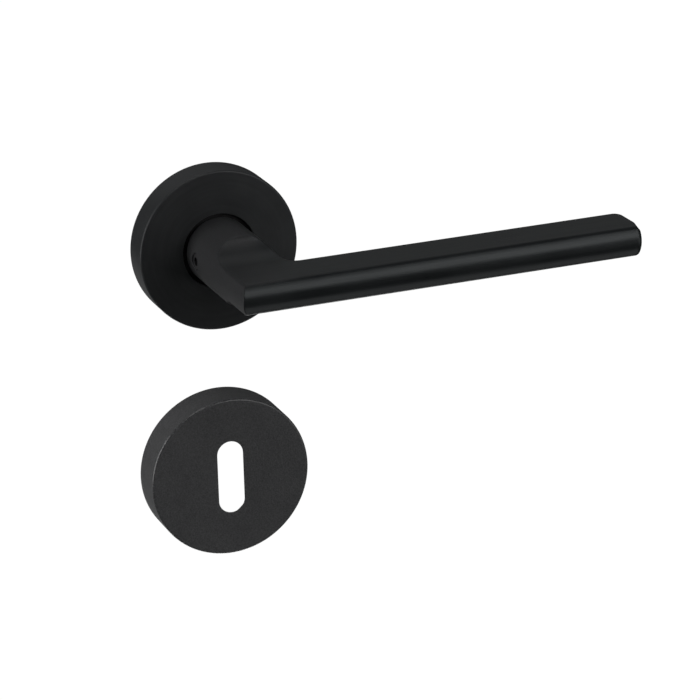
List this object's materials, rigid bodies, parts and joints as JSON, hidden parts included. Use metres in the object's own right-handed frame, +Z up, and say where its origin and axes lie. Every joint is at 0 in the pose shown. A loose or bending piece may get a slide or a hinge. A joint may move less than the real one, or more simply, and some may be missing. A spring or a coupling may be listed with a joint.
{
  "type": "lever handle on rose with key escutcheon",
  "caption": "Matt black door lever with a flat-topped bar grip, mitred to a round neck on a sprung round rose, with a matching round keyhole escutcheon below.",
  "frame": {"origin": "where the axis of the square spindle meets the face of the door", "axes": "+X along the grip towards its free end, +Y into the door along the spindle, +Z up"},
  "size_m": [0.1428, 0.099, 0.123],
  "materials": {
    "black_lever": "satin black coat",
    "black_rose": "satin black coat with fine turned brushing",
    "black_escutcheon": "fine-textured matt black powder coat",
    "black_steel": "blackened",
    "zinc": "as cast",
    "bright_steel": "drawn",
    "spring_steel": "oiled wire",
    "plated_screw": "zinc plated",
    "nylon": "moulded"
  },
  "bodies": {
    "mounting": {"rose_base": "zinc", "rest_stop_pin": "bright_steel", "travel_stop_pin": "bright_steel", "neck_bush": "nylon", "return_spring": "spring_steel", "rose_screw_left": "plated_screw", "rose_screw_right": "plated_screw", "rose_clip_ring": "spring_steel", "escutcheon_base": "zinc", "escutcheon_screw_left": "plated_screw", "escutcheon_screw_right": "plated_screw", "escutcheon_clip_ring": "spring_steel"},
    "lever": {"lever_handle": "black_lever", "grub_screw": "black_steel", "square_spindle": "bright_steel", "spindle_clip": "spring_steel", "circlip": "spring_steel", "wave_washer": "spring_steel", "spring_driver": "black_steel"},
    "rose_cover": {"rose_cover": "black_rose"},
    "escutcheon_cover": {"escutcheon_cover": "black_escutcheon"}
  },
  "joints": [
    {"name": "lever_turn", "type": "hinge", "parent": "mounting", "child": "lever", "pos_m": [0, 0, 0], "axis": [0, 1, 0], "range_deg": [0, 45], "stiffness_Nm_per_rad": 0.7, "springref_deg": -31.51, "deforming": ["return_spring"]},
    {"name": "rose_cover_pull", "type": "slide", "parent": "mounting", "child": "rose_cover", "axis": [0, -1, 0], "range_m": [0, 0.026]},
    {"name": "escutcheon_cover_pull", "type": "slide", "parent": "mounting", "child": "escutcheon_cover", "axis": [0, -1, 0], "range_m": [0, 0.015]}
  ]
}
